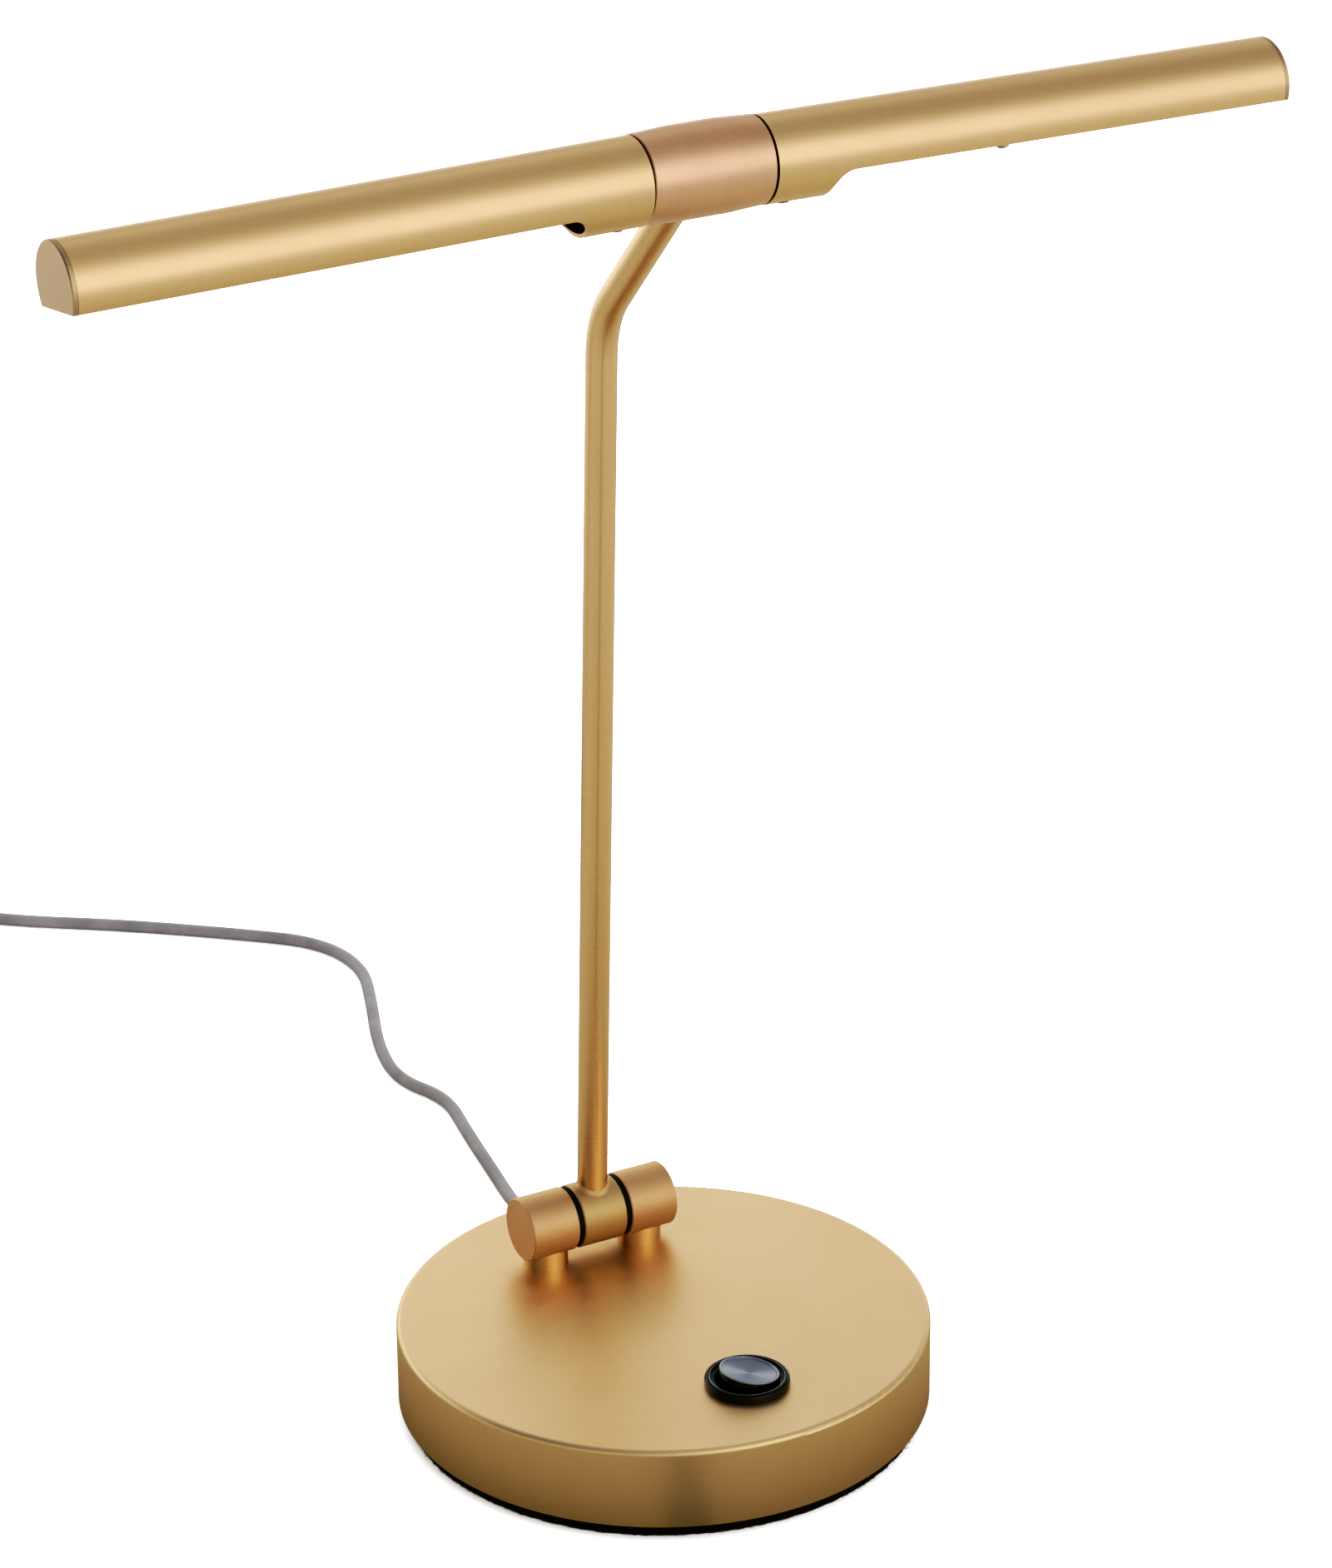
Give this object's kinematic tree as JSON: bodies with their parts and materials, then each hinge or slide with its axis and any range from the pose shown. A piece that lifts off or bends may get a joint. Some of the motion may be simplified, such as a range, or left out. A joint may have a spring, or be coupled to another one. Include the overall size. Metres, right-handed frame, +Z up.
{
  "type": "piano lamp",
  "caption": "Piano lamp: weighted round base with a rocker switch, friction hinge, bent arm and a slim two-part LED tube shade; cord with plug-in adapter.",
  "frame": {"origin": "centre of the underside of the round base", "axes": "+Z up, -Y towards the switch at the front, +X to the right of someone facing the switch; the shade runs along X"},
  "size_m": [0.3802, 0.5767, 0.417],
  "materials": {
    "satin_brass": "satin, brushed",
    "rose_brass": "satin, rose toned",
    "steel": "plain",
    "iron": "as cast",
    "black_plastic": "matt",
    "gloss_black": "gloss",
    "felt": "felt",
    "cord_grey": "satin sheath",
    "lead_sheath": "plain",
    "aluminium": "extruded",
    "board": "white board",
    "chip": "phosphor",
    "diffuser": "opal",
    "chrome": "polished",
    "white_plastic": "plain"
  },
  "bodies": {
    "base": {"adapter_body": "black_plastic", "adapter_pins": "steel", "adapter_relief": "black_plastic", "base_lead": "cord_grey", "base_shell": "satin_brass", "base_weight": "iron", "bottom_plate": "black_plastic", "cord_coil": "cord_grey", "cord_gland": "black_plastic", "felt_pad": "felt", "hinge_axle": "steel", "hinge_cheek_left": "rose_brass", "hinge_cheek_right": "rose_brass", "hinge_posts": "satin_brass", "nipple_nuts": "steel", "plate_screws": "steel", "post_nipples": "steel", "power_cord": "cord_grey", "riser_lead": "lead_sheath", "switch_blades": "steel", "switch_housing": "gloss_black", "switch_leads": "lead_sheath", "terminal_block": "white_plastic", "terminal_screws": "steel", "weight_screws": "steel"},
    "switch_rocker": {"switch_rocker": "gloss_black"},
    "arm": {"hinge_knuckle": "satin_brass", "hinge_washers": "black_plastic", "arm_tube": "satin_brass", "arm_lead": "lead_sheath", "barrel": "rose_brass"},
    "shade_left": {"diffuser_left": "diffuser", "dome_nut_left": "chrome", "end_cap_left": "satin_brass", "led_board_left": "board", "led_channel_left": "aluminium", "led_chips_left": "chip", "led_stud_left": "steel", "lock_screw_left": "steel", "shade_collar_left": "steel", "shade_lead_left": "lead_sheath", "shade_tube_left": "satin_brass", "stud_spacer_left": "steel"},
    "shade_right": {"diffuser_right": "diffuser", "dome_nut_right": "chrome", "end_cap_right": "satin_brass", "led_board_right": "board", "led_channel_right": "aluminium", "led_chips_right": "chip", "led_stud_right": "steel", "lock_screw_right": "steel", "shade_collar_right": "steel", "shade_lead_right": "lead_sheath", "shade_tube_right": "satin_brass", "stud_spacer_right": "steel"}
  },
  "joints": [
    {"name": "arm_tilt", "type": "hinge", "parent": "base", "child": "arm", "pos_m": [0, 0.0465, 0.0438], "axis": [1, 0, 0], "range_deg": [-25, 45]},
    {"name": "shade_left_turn", "type": "hinge", "parent": "arm", "child": "shade_left", "pos_m": [0, -0.0253, 0.40374], "axis": [0.9999, 0, 0.012], "range_deg": [-80, 80]},
    {"name": "shade_right_turn", "type": "hinge", "parent": "arm", "child": "shade_right", "pos_m": [0, -0.0253, 0.40374], "axis": [0.9999, 0, -0.012], "range_deg": [-80, 80]},
    {"name": "switch_rock", "type": "hinge", "parent": "base", "child": "switch_rocker", "pos_m": [0.0016, -0.0496, 0.03], "axis": [0, 1, 0], "range_deg": [-18.6, 0]}
  ]
}
